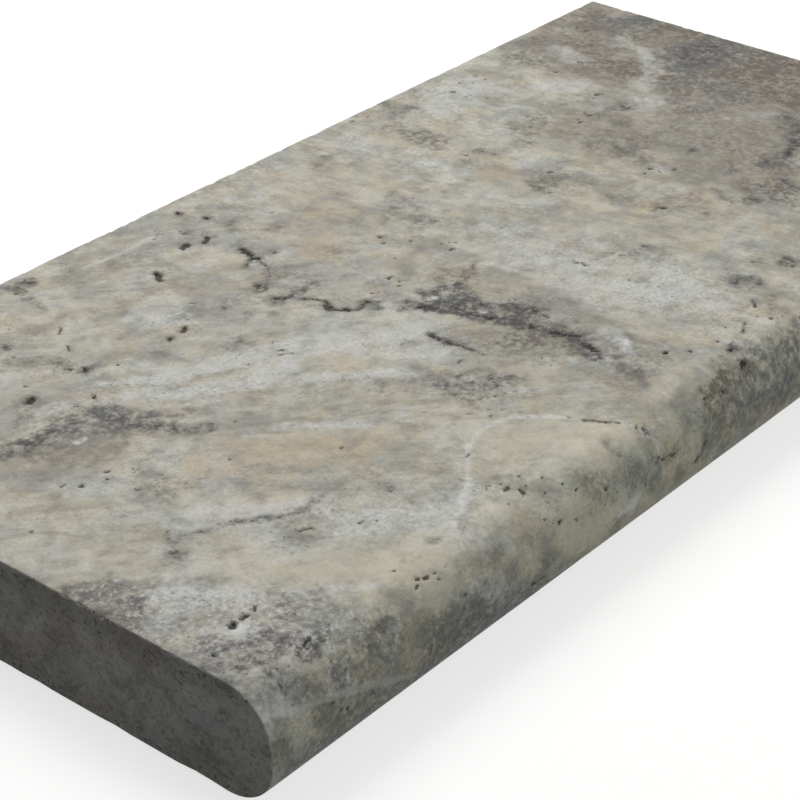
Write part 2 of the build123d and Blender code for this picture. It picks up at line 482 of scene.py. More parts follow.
SMOKE = [
    # the smoky tongue behind the left half
    (4, 0.8, (-256, 38), (-247, 40), (-238, 38)),
    (6, 0.8, (-222, 38), (-210, 38), (-203, 33)),
    (5, 0.75, (-202, 32), (-203, 22), (-199, 10), (-194, 2)),
    (9, 0.55, (-242, 33), (-224, 28), (-212, 22)),
    (4, 0.7, (-192, 16), (-187, 7)),
    (7, 0.9, (-218, 63)),
    (5, 0.55, (-229, 56)),
    (4, 0.6, (-185, 64)),
    (3, 0.5, (-189, 70)),
    (5, 0.55, (-186, 76), (-191, 85), (-200, 92)),
    (5, 0.7, (-195, 106)),
    (4, 0.5, (-199, 96)),
    (4, 0.5, (-178, 63)),
    (4, 0.6, (-155, 48)),
    (5, 0.7, (-180, 7)),
    (4, 0.8, (-190, -4), (-186, -8)),
    (9, 0.45, (-235, -30), (-226, -12)),
    (5, 0.3, (-252, -61), (-236, -66), (-228, -72), (-218, -81)),
    (8, 0.55, (-224, -92), (-214, -86)),
    (6, 0.5, (-210, -60)),
    (4, 0.6, (-260, -62)),
    (4, 0.5, (-252, -50)),
    (5, 0.6, (-172, -94)),
    (9, 0.3, (-186, -78)),
    # the dark corner by the near nose
    (9, 0.6, (-297, -56), (-286, -66)),
    (5, 0.6, (-293, -73)),
    (5, 0.55, (-291, -111)),
    (10, 0.7, (-302, -125), (-274, -127)),
    (8, 0.9, (-268, -137)),
    (10, 0.5, (-286, -144), (-278, -151)),
    (10, 0.5, (-250, -122), (-256, -136)),
    (8, 0.55, (-262, -118)),
    (8, 0.6, (-248, -149)),
    (6, 0.4, (-234, -150)),
    (3, 0.6, (-191, -131)),
    (3, 0.6, (-176, -134)),
    (4, 0.5, (-184, -147), (-171, -150)),
    # the dark heart right of it
    (5.5, 1.0, (-53, -5), (-47, -11), (-43, -20), (-41, -30), (-40, -40)),
    (5, 0.9, (-37, -3), (-28, -6), (-25, -9)),
    (10, 0.7, (-36, -10), (-31, -24), (-34, -44)),
    (5, 0.85, (-27, -38), (-23, -46), (-21, -55)),
    (4, 0.9, (-36, -48), (-35, -58), (-33, -62)),
    (5, 0.9, (-32, -66), (-30, -76), (-28, -80)),
    (4.5, 1.0, (-32, -84), (-34, -90), (-36, -95)),
    (9, 0.4, (-30, -44), (-30, -62)),
    (2.5, 0.6, (-22, -9), (-10, -5), (0, -1)),
    (3, 0.6, (-67, -29), (-68, -40), (-66, -49)),
    (6, 0.45, (-15, -68)),
    (4, 0.6, (-35, -120)),
    (3, 0.7, (-43, -126)),
    (3, 0.6, (-51, -101)),
    # grey cloud
    (11, 0.6, (-96, -62), (-89, -68), (-81, -75)),
    (4, 0.85, (-98, -61)),
    (4, 0.6, (-84, -79)),
    (8, 0.4, (-140, -22), (-120, -31), (-110, -45), (-104, -52)),
    (3, 0.5, (-78, -30)),
    # far end
    (13, 0.8, (260, 62), (286, 56)),
    (10, 0.5, (244, 30), (236, 14)),
    (8, 0.5, (172, 37)),
    (6, 0.8, (190, 48)),
    (5, 0.5, (175, 52)),
    (4, 0.8, (230, 44)),
    (12, 0.5, (276, 114)),
    (12, 0.5, (276, 40)),
    (3, 0.6, (284, 14), (292, 18)),
    (6, 0.8, (178, -48)),
    (4, 0.85, (208, -44), (192, -50)),
    (4, 0.8, (165, -64), (162, -70)),
    (4, 0.9, (153, -60)),
    (3, 0.8, (158, -38)),
    (3, 0.7, (168, -10)),
    (8, 0.75, (236, -22), (226, -30), (214, -42)),
    (5, 0.6, (214, 33)),
    # the smoky vein above the pale near patch
    (2.2, 0.6, (-259, -65), (-255, -55), (-250, -52), (-243, -60), (-229, -65)),
    (2.2, 0.55, (-229, -65), (-218, -74), (-208, -79), (-194, -78)),
    # the darkest run of the heart
    (2.6, 1.0, (-52, -6), (-46, -17), (-42, -30), (-39, -41)),
    (2.6, 1.0, (-36, -50), (-34, -60), (-31, -72), (-33, -86), (-35, -96)),
    (2.4, 0.9, (-26, -40), (-22, -50), (-21, -57)),
    # short dark strokes by the right edge
    (2.5, 0.9, (205, -47), (195, -49), (186, -51)),
    (2.2, 0.9, (167, -61), (166, -66), (162, -70)),
    (2.5, 0.8, (151, -59), (154, -62)),
    (2.5, 0.35, (134, -63), (141, -64)),
    (2.0, 0.7, (166, -9), (171, -12)),
    (1.6, 0.8, (168, -31), (165, -36), (159, -39)),
    (1.4, 0.6, (154, -23), (154, -30)),
    (6, 0.45, (176, -45), (180, -53)),
    (4, 0.6, (93, -108), (91, -115)),
    (2.2, 0.8, (70, -109), (66, -116)),
    (3, 0.35, (179, 55), (189, 51), (197, 46)),
    # small touches between the clouds, one brush at a time
    (14, 0.5, (298, 30), (302, 62)),
    (11, 0.5, (276, 60)),
    (10, 0.7, (270, 62), (284, 54)),
    (10, 0.4, (45, -45), (53, -53), (60, -60)),
    (9, 0.45, (-300, -138), (-284, -138)),
    (9, 0.35, (-146, -124), (-130, -138)),
    (8, 0.7, (-40, -10), (-36, -32)),
    (8, 0.55, (26, 66), (20, 52), (17, 46)),
    *brush(8, 0.5, (-300, -108), (-260, -114), [(-120, 66), (-110, 60), (-96, 57)], (148, 12)),
    *brush(7, 0.6, (-265, -135), [(112, 148), (110, 138), (118, 134)], (190, 46)),
    (7, 0.4, (-131, 130), (-117, 130), (-106, 127), (-88, 127)),
    (7, 0.35, (25, 35)),
    (6, 0.7, (62, -105), (60, -113)),
    *brush(6, 0.6, [(-198, 22), (-202, 6)], (90, -113)),
    (6, 0.55, (-132, 31), (-122, 31)),
    *brush(6, 0.5, (-262, -120), (95, 35)),
    (6, 0.45, (144, 35)),
    (6, 0.4, (-52, 10), (-50, 2)),
    (5, 0.95, (5, -146)),
    *brush(5, 0.85, (-147, 143), (102, -36)),
    (5, 0.75, (-88, 43), (-80, 43)),
    *brush(5, 0.7, [(-34, -58), (-32, -64)], [(82, 24), (85, 30)]),
    *brush(5, 0.6, [(-40, -34), (-38, -44)], [(-33, -100), (-38, -118)], (57, -125), (98, 73)),
    *brush(
        5, 0.5, (-135, 93), (-112, 151), [(-65, 109), (-60, 114)], (-34, 92), [(12, 63), (5, 58)],
        (12, 150), [(103, 18), (103, 8)],
    ),
    *brush(5, 0.4, (9, 41), (15, 97)),
    *brush(4, 0.9, (-51, 140), (-46, 127), (8, -137)),
    *brush(4, 0.8, (-82, 59), (-63, 12), (48, -131)),
    *brush(4, 0.75, [(-76, 42), (-66, 43)], (135, -63)),
    (4, 0.6, (-9, 49)),
    (4, 0.55, (30, 124), (42, 128)),
    *brush(4, 0.5, (-63, 121), (-15, -118), (84, 70), (92, 120)),
    *brush(4, 0.4, (-75, 113), [(-54, 98), (-59, 90)]),
    (4, 0.35, (-9, 66), (-1, 70)),
    (3, 0.8, (-64, 5)),
    *brush(
        3, 0.7, [(-157, 151), (-155, 138), (-157, 127), (-159, 118)], (-142, 56), (-52, 78), (24, -117),
        (63, -53),
    ),
    *brush(
        3, 0.6, [(-223, 39), (-242, 43), (-252, 44)], (-156, 107), (-98, 37), [(-49, 106), (-41, 115)],
        (28, 76), (102, -15),
    ),
    *brush(
        3, 0.5, (-123, 144), [(-112, 42), (-102, 44)], (-72, 134), (97, -8),
        [(135, -45), (130, -52), (125, -58)],
    ),
    (2.5, 0.55, (-90, -140), (-88, -146)),
]
SLATE = [
    (8, 1.0, (251, 57), (263, 66), (276, 64), (287, 57)),
    (7, 0.4, (272, 72), (284, 70)),
    (9, 0.9, (288, 123), (297, 112)),
    (6, 0.5, (212, 12)),
    (8, 0.4, (230, 8)),
    (6, 0.5, (-32, -50)),
    # nose; the long strokes at v -182 to -190 darken the bottom of the nose along its length
    (9, 0.7, (-284, -190), (-200, -190), (-100, -190), (20, -190)),
    (8, 0.7, (-214, -166), (-190, -168)),
    (7, 0.35, (-286, -164), (-272, -160)),
    (8, 0.5, (-10, -160), (8, -160)),
    (7, 0.45, (-302, -142)),
    (8, 0.6, (28, -148), (48, -148)),
    (9, 0.4, (0, -164), (40, -168)),
    (7, 0.5, (-116, -146), (-104, -156)),
    (8, 0.2, (-287, -148)),
    (9, 0.7, (-265, -152)),
    (9, 0.5, (-243, -152)),
    (10, 0.45, (-197, -162), (-173, -170), (-145, -182)),
    (8, 0.35, (-105, -150), (-81, -158)),
    (8, 0.5, (15, -156), (34, -154)),
    (12, 0.5, (70, -150), (110, -160)),
    (10, 0.5, (180, -150), (230, -165)),
    (7, 0.5, (-264, -164), (-244, -168)),
    (9, 0.5, (-290, -187), (-160, -187)),
    (7, 0.5, (15, -140)),
    (7, 0.4, (30, -166)),
    (14, 0.8, (264, 62), (288, 56)),
    (9, 0.8, (-290, -184), (-160, -184)),
    (7, 0.5, (-262, -152)),
    (8, 0.5, (30, -170)),
    (9, 0.8, (-290, -182), (-160, -182)),
    (7, 0.4, (-266, -170), (-230, -156)),
    (16, 0.9, (264, 60), (288, 55)),
    (8, 0.35, (52, -138)),
]
FLECKED = [
    # where silver and slate lie in small flecks side by side
    (24, 0.9, (-290, -86), (-264, -122)),
    (12, 0.8, (-262, -142), (-240, -146)),
    (12, 0.7, (-300, -60), (-290, -70)),
    (9, 0.6, (-296, -150), (-270, -156)),
    (12, 0.6, (-205, -96), (-185, -108)),
    (9, 0.5, (-224, 32), (-204, 26)),
    (10, 0.5, (-215, 52), (-190, 40)),
    (12, 0.5, (-176, -140), (-158, -122)),
    (12, 0.5, (-24, -96), (-30, -112)),
    (14, 0.5, (-180, 12), (-140, 2)),
    (16, 0.2, (276, 60)),
    (30, 0.35, (225, 20), (180, -30)),
    (14, 0.4, (60, -110), (30, -135)),
]

# %% Veins, cracks and voids
CALCITE = [
    (1.6, 0.8, (-178, -131), (-165, -124), (-150, -116), (-140, -108), (-130, -100)),
    (1.6, 0.7, (-130, -100), (-115, -95), (-100, -99), (-92, -108), (-86, -116)),
    (1.6, 1.0, (-42, -8), (-39, -9)),
    (1.4, 0.8, (-33, -9)),
    (1.8, 1.0, (-36, -34)),
    (1.5, 0.9, (-17, -98), (-20, -100)),
    (1.6, 0.9, (-228, 24), (-224, 24)),
    (1.5, 0.9, (-178, 11)),
    (1.5, 0.8, (-281, -114), (-274, -113)),
    (1.3, 0.6, (-75, -136), (-70, -141), (-66, -151), (-66, -158), (-65, -165)),
    (1.4, 0.6, (-96, -171), (-90, -170), (-84, -168)),
    (1.3, 0.35, (-296, -153), (-276, -158), (-256, -163), (-226, -176)),
    (1.3, 0.5, (-120, 134), (-98, 131), (-78, 132)),
]
CRACKS = [
    # half width, depth, route
    (1.7, 1.6, (-59, 90), (-62, 84), (-62, 79)),
    (0.8, 0.8, (-62, 80), (-67, 80), (-72, 77)),
    (0.7, 0.7, (-62, 78), (-66, 68), (-73, 61)),
    (1.1, 1.1, (-80, 61), (-84, 57)),
    (1.4, 1.2, (-85, 46), (-79, 41), (-77, 36)),
    (0.6, 0.6, (-77, 36), (-74, 30), (-72, 25)),
    (1.5, 1.3, (-74, 25), (-78, 20), (-74, 15)),
    (0.8, 0.8, (-74, 15), (-70, 10), (-62, 12), (-58, 8)),
    (0.9, 0.7, (-67, -28), (-68, -38), (-66, -48)),
    (0.6, 0.5, (-66, -50), (-66, -58)),
    (0.9, 1.0, (-52, -6), (-47, -16)),
    (0.8, 0.8, (-40, -20), (-41, -32), (-39, -41)),
    (0.6, 0.5, (-22, -41), (-20, -50), (-21, -58)),
    (1.2, 1.2, (-35, -56), (-33, -61)),
    (0.8, 1.0, (-32, -64), (-30, -74), (-27, -80)),
    (1.2, 1.3, (-31, -84), (-32, -90), (-35, -95)),
    (0.6, 0.6, (-83, -123), (-79, -130), (-74, -136)),
    (1.0, 0.9, (-70, -141), (-68, -144), (-67, -149)),
    (0.8, 0.8, (-34, -165), (-37, -169), (-41, -172)),
    (0.6, 0.5, (28, -37), (31, -40), (29, -43)),
    (0.6, 0.5, (22, -133), (30, -129)),
    (0.6, 0.5, (45, -125), (50, -120)),
    (0.6, 0.6, (58, -106), (65, -103)),
    (0.7, 0.6, (208, -44), (192, -50)),
    (0.6, 0.6, (166, -64), (162, -71)),
]
VOIDS = [
    # half width, depth, ends of the hole
    (1.6, 2.2, (-106, 98), (-102, 105)),
    (1.1, 1.5, (-134, 56), (-130, 59)),
    (1.2, 1.4, (-142, 56)),
    (1.9, 1.5, (-76, 113), (-73, 114)),
    (1.3, 1.2, (-66, 109), (-61, 112)),
    (1.4, 1.4, (-51, 141)),
    (1.4, 1.4, (-46, 127)),
    (1.0, 1.1, (-199, 45), (-197, 46)),
    (0.7, 0.8, (-178, 82), (-175, 86)),
    (0.7, 0.8, (-170, 97), (-166, 100)),
    (1.0, 1.2, (-211, 74)),
    (1.1, 1.2, (-186, 64), (-184, 66)),
    (0.9, 1.0, (-189, 70)),
    (1.0, 1.0, (-173, 57)),
    (1.7, 1.4, (-219, 62), (-216, 64)),
    (1.2, 1.9, (-280, -111), (-277, -109)),
    (1.0, 1.6, (-274, -110), (-271, -110)),
    (0.8, 1.0, (-267, -110), (-265, -108)),
    (0.9, 1.2, (-296, -117)),
    (0.8, 0.7, (-270, -137), (-266, -136)),
    (0.6, 0.8, (-200, -102), (-197, -102)),
    (0.6, 0.8, (-194, -106)),
    (0.7, 0.8, (-168, -79)),
    (0.6, 0.7, (-218, -88), (-214, -90)),
    (0.7, 0.7, (-175, -14)),
    (0.8, 0.7, (-198, -32)),
    (0.6, 0.7, (-237, -20)),
    (0.8, 0.8, (-146, -131), (-143, -130)),
    (0.7, 0.8, (-143, -138)),
    (0.6, 0.7, (-134, -129)),
    (0.6, 0.7, (-136, -104), (-133, -103)),
    (0.6, 0.7, (-79, -54), (-76, -53)),
    (0.6, 0.7, (-83, -87)),
    (0.7, 0.8, (-85, -117)),
    (1.3, 1.4, (-14, -117)),
    (1.2, 1.0, (-7, -125)),
    (1.1, 1.0, (8, -129)),
    (0.7, 0.8, (21, -125)),
    (1.1, 1.2, (7, -137)),
    (1.2, 1.3, (4, -146), (7, -145)),
    (0.6, 0.7, (30, -67)),
    (0.6, 0.6, (10, -47)),
    (1.2, 1.0, (102, -36)),
    (0.9, 0.8, (48, -131)),
    (0.9, 0.8, (-9, 49)),
    (1.0, 0.9, (-12, 44)),
    (0.9, 0.9, (-27, -148)),
    (0.9, 1.0, (-41, -172)),
    (0.9, 0.8, (-15, -150)),
    (1.1, 1.1, (-146, 143)),
    (0.9, 0.9, (-157, 139)),
    # the specks on the shoulder of the nose
    (0.9, 0.8, (-143, -127)),
    (1.0, 0.9, (-144, -131)),
    (0.9, 0.9, (-141, -135), (-141, -137)),
    (0.8, 0.7, (-134, -129)),
    (0.8, 0.7, (-137, -135)),
    (0.8, 0.7, (-123, -143)),
    (0.9, 0.8, (-119, -148)),
    (0.9, 0.8, (-104, -155)),
    (0.7, 0.6, (-151, -137)),
    (0.7, 0.6, (-128, -136)),
    (0.7, 0.6, (-133, -142)),
    (0.7, 0.6, (-147, -124)),
    # single specks on the left half
    (0.7, 0.6, (-168, 99)),
    (0.8, 0.7, (-194, 106)),
    (0.7, 0.6, (-251, -50)),
    (0.7, 0.6, (-260, -61)),
    (0.7, 0.6, (-284, -10)),
    (0.7, 0.6, (31, -66)),
    # on the near end
    (0.9, 1.2, (-311.8, -109)),
    (0.7, 1.0, (-316.8, -108.8)),
    (0.6, 0.7, (-314.2, -68)),
    (0.6, 0.7, (-332, -29)),
    (0.6, 0.7, (-336, -129)),
]
painted = WASH + SILVER + CREAM + OCHRE + UMBER + SMOKE + SLATE + FLECKED
print(len(painted), "clouds", len(CALCITE), "veins", len(CRACKS), "cracks", len(VOIDS), "voids")

# %% [markdown]
# Small pits, scattered
#
# Between the voids that can be placed one by one, travertine has hundreds of small ones. They
# come in loose flocks along the beds, so the script scatters flocks first and then pits round
# each flock. A texture could paint them, but a pit is seen by its shadow, so each is carved.
# The random numbers have a fixed seed, so every run gives the same stone.

# %% Scatter the pits
UNDER_START = FLAT_START - 2 * QUARTER - BAND
UNDER_END = UNDER_START - (BACK - FLAT_START)


def scatter(flocks, each, u_range, v_range, spread, lean):
    """Pits in flocks: each has a half width, a depth and two ends that lean along the bed."""
    pits = []
    for _ in range(flocks):
        middle_u = random_pits.uniform(*u_range)
        middle_v = random_pits.uniform(*v_range)
        for _ in range(random_pits.randint(*each)):
            along = random_pits.gauss(0, spread)
            across = random_pits.gauss(0, spread * 0.35)
            turn = math.radians(lean + random_pits.gauss(0, 25))
            u = middle_u + along * math.cos(turn) - across * math.sin(turn)
            v = middle_v + along * math.sin(turn) + across * math.cos(turn)
            if not (u_range[0] < u < u_range[1] and v_range[0] < v < v_range[1]):
                continue
            half_width = random_pits.uniform(0.4, 0.95)
            reach = half_width * random_pits.uniform(0.1, 1.1)
            reach_u = reach * math.cos(turn)
            reach_v = reach * math.sin(turn)
            depth = half_width * random_pits.uniform(0.7, 1.2)
            pits.append((half_width, depth, (u - reach_u, v - reach_v), (u + reach_u, v + reach_v)))
    return pits


CLOSED = 0.35  # the share of a crack's run that stays shut


def chain(route, half_width, depth):
    """A crack as a chain of small voids that wanders about its route and closes in places."""
    links = []
    for start, stop in zip(route[:-1], route[1:]):
        length = math.dist(start, stop)
        steps = max(1, round(length / (half_width * 1.1)))
        course = math.atan2(stop[1] - start[1], stop[0] - start[0])
        for step in range(steps):
            share = (step + random_pits.random()) / steps
            u = start[0] + share * (stop[0] - start[0]) + random_pits.gauss(0, half_width * 0.4)
            v = start[1] + share * (stop[1] - start[1]) + random_pits.gauss(0, half_width * 0.4)
            turn = course + random_pits.gauss(0, 0.6)
            width = half_width * random_pits.uniform(0.35, 1.0)
            reach_u = width * math.cos(turn)
            reach_v = width * math.sin(turn)
            if random_pits.random() > CLOSED:
                deep = depth * random_pits.uniform(0.6, 1.1)
                links.append((width, deep, (u - reach_u, v - reach_v), (u + reach_u, v + reach_v)))
    return links


INSET = 3.0  # mm that scattered pits keep from the corners
full_length = (-END + INSET, END - INSET)
full_width = (FLAT_START + 5, BACK - INSET)
nose_part = (-200, -130)
near_end = (-END - TOP + INSET, -END - INSET)
far_end = (END + INSET, END + TOP - INSET)
back_edge = (BACK + INSET, BACK + TOP - INSET)
underside = (UNDER_END + INSET, UNDER_START)
# number of flocks, pits in each, range of u and of v, spread in mm and lean in degrees
tread_pits = scatter(34, (2, 7), full_length, full_width, 9, -32)
nose_pits = scatter(16, (3, 8), full_length, nose_part, 7, -20)
near_end_pits = scatter(7, (3, 7), near_end, full_width, 14, 90)
far_end_pits = scatter(12, (4, 9), far_end, full_width, 14, 90)
back_pits = scatter(14, (3, 8), full_length, back_edge, 12, 0)
under_pits = scatter(12, (3, 7), full_length, underside, 10, 10)
crack_pits = [link for half_width, depth, *route in CRACKS for link in chain(route, half_width, depth)]
placed_pits = VOIDS + crack_pits
small_pits = tread_pits + nose_pits + near_end_pits + far_end_pits + back_pits + under_pits
print(len(placed_pits), "placed pits and", len(small_pits), "scattered ones")

# %% [markdown]
# The blank
#
# A mason starts from a sawn block, and so does the mesh: a cube is stretched to the slab. The
# router's bullnose is a bevel of the two long front edges, and the rubbed corners are a small
# bevel of every sharp edge that is left, also round the curved outline of each end. An
# outline could be drawn and extruded instead, but bevels follow the mason's own steps.

# %% Saw, rout and rub the blank
NOSE_SEGMENTS = 18  # steps of about 2 mm round each quarter of the nose
CORNER_SEGMENTS = 3
SHARP = math.radians(60)


def bevel(bm, edges, radius, segments):
    """Rounds edges to a radius in mm."""
    bmesh.ops.bevel(
        bm,
        geom=edges,
        offset=radius * MM,
        offset_type="OFFSET",
        segments=segments,
        profile=0.5,
        affect="EDGES",
        material=-1,
        clamp_overlap=True,
    )


stone = bmesh.new()
bmesh.ops.create_cube(stone, size=1.0)
bmesh.ops.scale(stone, vec=Vector(high) - Vector(low), verts=stone.verts)
bmesh.ops.translate(stone, vec=(Vector(high) + Vector(low)) / 2, verts=stone.verts)
front_edges = []
for edge in stone.edges:
    at_front = all(abs(v.co.y / MM - NOSE) < TOUCH for v in edge.verts)
    if at_front and edge.calc_length() / MM > END:  # leaves out the two short upright ones
        front_edges.append(edge)
bevel(stone, front_edges, NOSE_RADIUS, NOSE_SEGMENTS)
sharp_edges = [edge for edge in stone.edges if edge.calc_face_angle() > SHARP]
bevel(stone, sharp_edges, CORNER, CORNER_SEGMENTS)
print("blank has", len(stone.faces), "faces")

# %% [markdown]
# Cutting the blank fine enough to carve
#
# Relief needs points to move. A Subdivision or Remesh modifier would spend as many of them on
# the hidden underside as on the face. So the blank is first cut into even cells, and then every
# edge that is too long for its place is halved, again and again. The tread and the nose get
# cells of 2 to 3 mm, the underside coarse ones, and the rims of pits and cracks the finest.

# %% Cut into cells
CELL = 2 * END / 36  # three halvings of this give 2.1 mm
ON_PLANE = 1e-6  # metres within which a point counts as lying on the cut
WELD = 0.12  # mm: where a cut grazes a line of the nose, the points closer than this are joined


def cut_across(bm, axis, start, stop):
    """Cuts the whole mesh with even planes square to one axis."""
    steps = round((stop - start) / CELL)
    normal = Vector((0, 0, 0))
    normal[axis] = 1
    for step in range(1, steps):
        place = Vector((0, 0, 0))
        place[axis] = (start + (stop - start) * step / steps) * MM
        geom = bm.verts[:] + bm.edges[:] + bm.faces[:]
        bmesh.ops.bisect_plane(bm, geom=geom, dist=ON_PLANE, plane_co=place, plane_no=normal)


cut_across(stone, 0, -END, END)
cut_across(stone, 1, FLAT_START, BACK)
cut_across(stone, 2, 0, TOP)
bmesh.ops.remove_doubles(stone, verts=stone.verts[:], dist=WELD * MM)
bmesh.ops.triangulate(stone, faces=stone.faces[:])
print("cut into", len(stone.faces), "triangles")

# %% Draw where detail is needed
# the longest edge in mm that each part of the skin may have
LONGEST_ON_TREAD = 3.05  # the diagonal of a 2.1 mm cell
LONGEST_FAR_AWAY = 4.4
LONGEST_UNDER = 12.1
LONGEST_ON_BACK = 6.1
LONGEST_AT_CORNER = 2.2
LONGEST_BY_VEIN = 1.6
LONGEST_BY_PIT = 1.1
LONGEST_BY_VOID = 0.8
FAR_AWAY = 60  # the u past which the photograph shows less
PLAN_STEP = 0.5  # mm between the points of the plan of the skin
plan_u = np.arange(-END - TOP, END + TOP, PLAN_STEP)
plan_v = np.arange(UNDER_END, BACK + TOP, PLAN_STEP)
plan = np.full((len(plan_u), len(plan_v)), LONGEST_ON_TREAD)
plan[plan_u > FAR_AWAY] = LONGEST_FAR_AWAY
plan[:, plan_v < FLAT_START - QUARTER - BAND] = LONGEST_FAR_AWAY


def distance_to_route(points, route):
    """How far each point lies from a route of one or more points."""
    route = np.array(route, float)
    if len(route) == 1:
        return np.linalg.norm(points - route[0], axis=-1)
    best = np.full(points.shape[:-1], np.inf)
    for start, stop in zip(route[:-1], route[1:]):
        run = stop - start
        share = np.clip(((points - start) @ run) / (run @ run), 0, 1)
        foot = start + share[..., None] * run
        best = np.minimum(best, np.linalg.norm(points - foot, axis=-1))
    return best


def ask_for_detail(route, reach, longest):
    """Marks the plan within reach of a route with the longest edge allowed there."""
    route = np.array(route, float)
    least = route.min(axis=0) - reach
    most = route.max(axis=0) + reach
    span_u = slice(*np.searchsorted(plan_u, (least[0], most[0])))
    span_v = slice(*np.searchsorted(plan_v, (least[1], most[1])))
    places = np.stack(np.meshgrid(plan_u[span_u], plan_v[span_v], indexing="ij"), axis=-1)
    window = plan[span_u, span_v]
    close = distance_to_route(places, route) < reach
    window[close] = np.minimum(window[close], longest)


for half_width, strength, *route in CALCITE:
    ask_for_detail(route, half_width + 1.0, LONGEST_BY_VEIN)
for half_width, depth, *route in small_pits:
    ask_for_detail(route, half_width + 0.6, LONGEST_BY_PIT)
for half_width, depth, *route in placed_pits:
    ask_for_detail(route, half_width + 0.6, LONGEST_BY_VOID)
print("plan of the skin has", plan.size, "places")


# %% Halve what is too long
def longest_allowed(places):
    """The longest edge that may stay at each place, in mm."""
    x, y, z = places.T
    skin = unroll(places)
    at_u = np.clip(np.round((skin[:, 0] - plan_u[0]) / PLAN_STEP).astype(int), 0, len(plan_u) - 1)
    at_v = np.clip(np.round((skin[:, 1] - plan_v[0]) / PLAN_STEP).astype(int), 0, len(plan_v) - 1)
    allowed = plan[at_u, at_v]
    plain = allowed > LONGEST_BY_VEIN
    allowed[plain & (y > BACK - CORNER) & (z < TOP - CORNER)] = LONGEST_ON_BACK
    allowed[plain & (z < CORNER) & (y > FLAT_START)] = LONGEST_UNDER
    end_gap = END - np.abs(x)
    rim = (end_gap > TOUCH) & (end_gap < CORNER + 0.5) & (z > CORNER)
    allowed[rim] = np.minimum(allowed[rim], LONGEST_AT_CORNER)
    return allowed


def cut_into_triangles(bm):
    """Splits the faces that a cut has left with more than three corners."""
    bmesh.ops.triangulate(bm, faces=[face for face in bm.faces if len(face.verts) > 3])


MOST_HALVINGS = 8
SLIVER = 0.01  # mm: triangles thinner than this are closed up
edge_mesh = bpy.data.meshes.new("edges_to_measure")
for halving in range(MOST_HALVINGS):
    stone.to_mesh(edge_mesh)
    flat = np.empty(len(edge_mesh.vertices) * 3)
    edge_mesh.vertices.foreach_get("co", flat)
    pairs = np.empty(len(edge_mesh.edges) * 2, dtype=np.int32)
    edge_mesh.edges.foreach_get("vertices", pairs)
    starts, stops = flat.reshape(-1, 3)[pairs.reshape(-1, 2)].transpose(1, 0, 2) / MM
    lengths = np.linalg.norm(stops - starts, axis=1)
    too_long = lengths > longest_allowed((starts + stops) / 2)
    if not too_long.any():
        break
    stone.edges.ensure_lookup_table()
    chosen = [stone.edges[i] for i in np.nonzero(too_long)[0]]
    bmesh.ops.subdivide_edges(stone, edges=chosen, cuts=1, use_grid_fill=True, use_single_edge=True)
    cut_into_triangles(stone)
    bmesh.ops.dissolve_degenerate(stone, dist=SLIVER * MM, edges=stone.edges[:])
bpy.data.meshes.remove(edge_mesh)
cut_into_triangles(stone)
print("ready to carve after", halving, "halvings,", len(stone.faces), "triangles")

# %% [markdown]
# Carving and staining in one pass
#
# Every point now gets two kinds of numbers. The first is how far it sinks: a slight swell from
# brushing, small bites out of the corners, and the pits and cracks. Points only ever sink, so
# the stone stays inside the size it was sawn to. The second is how much of each stain, and of
# each painted shade and highlight, it has, stored as attributes of the mesh that the material
# reads. A displacement texture could carve too, but this way the pits, the dirt and painted
# shade in them and the stains share one set of numbers.

# %% Read the points of the blank
coping_mesh = bpy.data.meshes.new("bullnose_coping_stone")
stone.to_mesh(coping_mesh)
stone.free()
count = len(coping_mesh.vertices)
flat = np.empty(count * 3)
coping_mesh.vertices.foreach_get("co", flat)
points = flat.reshape(-1, 3) / MM
coping_mesh.vertices.foreach_get("normal", flat)
normals = flat.reshape(-1, 3).copy()
skin = unroll(points)


def field(size, seed):
    """Smooth noise from about -1 to 1 at every point, with swells of the given size in mm."""
    shift = Vector((17.3, 5.1, 9.7)) * seed  # takes each seed to another part of the noise
    return np.array([noise.noise(Vector(p) / size + shift) for p in points])


def near_route(route, reach):
    """The numbers of the points whose u, v lies within reach of a route's box."""
    route = np.array(route, float)
    inside = (skin > route.min(axis=0) - reach) & (skin < route.max(axis=0) + reach)
    return np.nonzero(inside[:, 0] & inside[:, 1])[0]


drift = field(14, 1)
ripple = field(4, 2)
grit = field(1.6, 3)
swell = field(38, 4)
print(count, "points read")

# %% Carve the swell and the corners
BRUSHED_OFF = 0.10  # mm that brushing takes off on average
sink = np.maximum(BRUSHED_OFF + 0.10 * swell + 0.05 * drift, 0)
end_gap = END - np.abs(points[:, 0])
back_gap = BACK - points[:, 1]
flat_gap = np.minimum(TOP - points[:, 2], points[:, 2])
on_nose = points[:, 1] < FLAT_START
side_gap = np.where(on_nose, 0, np.minimum(flat_gap, back_gap))
corner_gap = np.minimum(np.maximum(end_gap, side_gap), np.maximum(back_gap, flat_gap))
RIM = 2.4  # mm from a corner that bites reach
BITE = 1.5  # mm, the deepest bite
rim = np.clip(1 - corner_gap / RIM, 0, 1)
bites = np.clip(0.5 * drift + 0.6 * ripple + 0.3 * grit - 0.1, 0, 1)
sink = sink + rim * (BRUSHED_OFF + BITE * bites)
